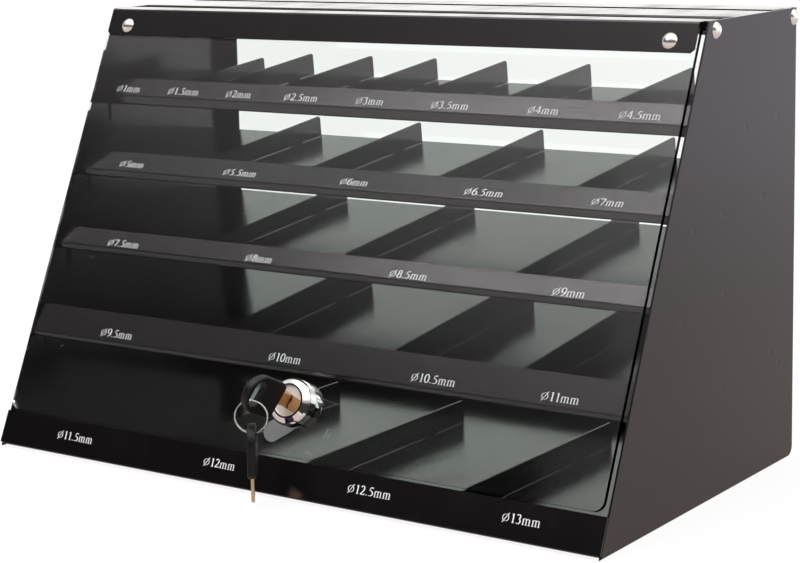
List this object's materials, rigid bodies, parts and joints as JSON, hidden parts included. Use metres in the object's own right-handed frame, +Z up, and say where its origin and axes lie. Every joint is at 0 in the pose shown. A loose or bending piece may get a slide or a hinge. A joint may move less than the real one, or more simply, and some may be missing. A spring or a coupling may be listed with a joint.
{
  "type": "drill bit dispenser case",
  "caption": "Slant-fronted sheet steel counter case with sloping divided tiers for drill bits behind a clear lockable lift-up flap, with a clear flap at the back.",
  "frame": {"origin": "middle of the footprint on the counter: half way between the side panels and between the front and back ends of their undersides", "axes": "+Z up, +Y to the back, +X to the right as seen from the front"},
  "size_m": [0.4352, 0.2746, 0.27],
  "materials": {
    "black_powder_coat": "semi-gloss fine powder coat",
    "clear_sheet": "polished clear acrylic",
    "bright_steel": "polished domed rivets",
    "lock_chrome": "polished nickel plate",
    "zinc_steel": "zinc plated",
    "key_plastic": "moulded, satin",
    "key_brass": "milled brass",
    "ring_wire": "nickel plated spring wire"
  },
  "bodies": {
    "case": {"divider_1_1": "black_powder_coat", "divider_1_2": "black_powder_coat", "divider_1_3": "black_powder_coat", "divider_1_4": "black_powder_coat", "divider_1_5": "black_powder_coat", "divider_1_6": "black_powder_coat", "divider_1_7": "black_powder_coat", "divider_2_1": "black_powder_coat", "divider_2_2": "black_powder_coat", "divider_2_3": "black_powder_coat", "divider_2_4": "black_powder_coat", "divider_3_1": "black_powder_coat", "divider_3_2": "black_powder_coat", "divider_3_3": "black_powder_coat", "divider_4_1": "black_powder_coat", "divider_4_2": "black_powder_coat", "divider_4_3": "black_powder_coat", "divider_5_1": "black_powder_coat", "divider_5_2": "black_powder_coat", "divider_5_3": "black_powder_coat", "front_hinge_pins": "bright_steel", "left_side_panel": "black_powder_coat", "rear_hinge_pins": "bright_steel", "right_side_panel": "black_powder_coat", "shelf_1": "black_powder_coat", "shelf_2": "black_powder_coat", "shelf_3": "black_powder_coat", "shelf_4": "black_powder_coat", "shelf_5": "black_powder_coat", "top_crossbar": "black_powder_coat"},
    "front_flap": {"front_flap_rail": "black_powder_coat", "front_clear_panel": "clear_sheet", "front_panel_rivets": "bright_steel", "lock_body": "lock_chrome", "lock_nut": "zinc_steel"},
    "rear_flap": {"rear_flap_rail": "black_powder_coat", "rear_clear_panel": "clear_sheet", "rear_panel_rivets": "bright_steel"},
    "lock_barrel": {"lock_plug": "lock_chrome", "lock_cam": "zinc_steel", "cam_screw": "zinc_steel"},
    "first_key": {"key_1_bow": "key_plastic", "key_1_blade": "key_brass"},
    "ring": {"key_ring": "ring_wire"},
    "second_key": {"key_2_bow": "key_plastic", "key_2_blade": "key_brass"}
  },
  "joints": [
    {"name": "front_flap_hinge", "type": "hinge", "parent": "case", "child": "front_flap", "pos_m": [0, 0.013, 0.2645], "axis": [-1, 0, 0], "range_deg": [0, 200]},
    {"name": "rear_flap_hinge", "type": "hinge", "parent": "case", "child": "rear_flap", "pos_m": [0, 0.116, 0.2645], "axis": [1, 0, 0], "range_deg": [0, 105]},
    {"name": "lock_turn", "type": "hinge", "parent": "front_flap", "child": "lock_barrel", "pos_m": [0.005, -0.09981, 0.0517], "axis": [0, -0.9075, 0.4201], "range_deg": [-36, 54]},
    {"name": "first_key_slide", "type": "slide", "parent": "lock_barrel", "child": "first_key", "axis": [0, -0.9075, 0.4201], "range_m": [-0.0088, 0.006]},
    {"name": "ring_swing", "type": "hinge", "parent": "first_key", "child": "ring", "pos_m": [0.00162, -0.13703, 0.05517], "axis": [0.5, -0.866, 0], "range_deg": [-15, 12]},
    {"name": "second_key_swing", "type": "hinge", "parent": "ring", "child": "second_key", "pos_m": [0.00162, -0.13703, 0.04237], "axis": [0.866, 0.5, 0], "range_deg": [-25, 25]}
  ]
}
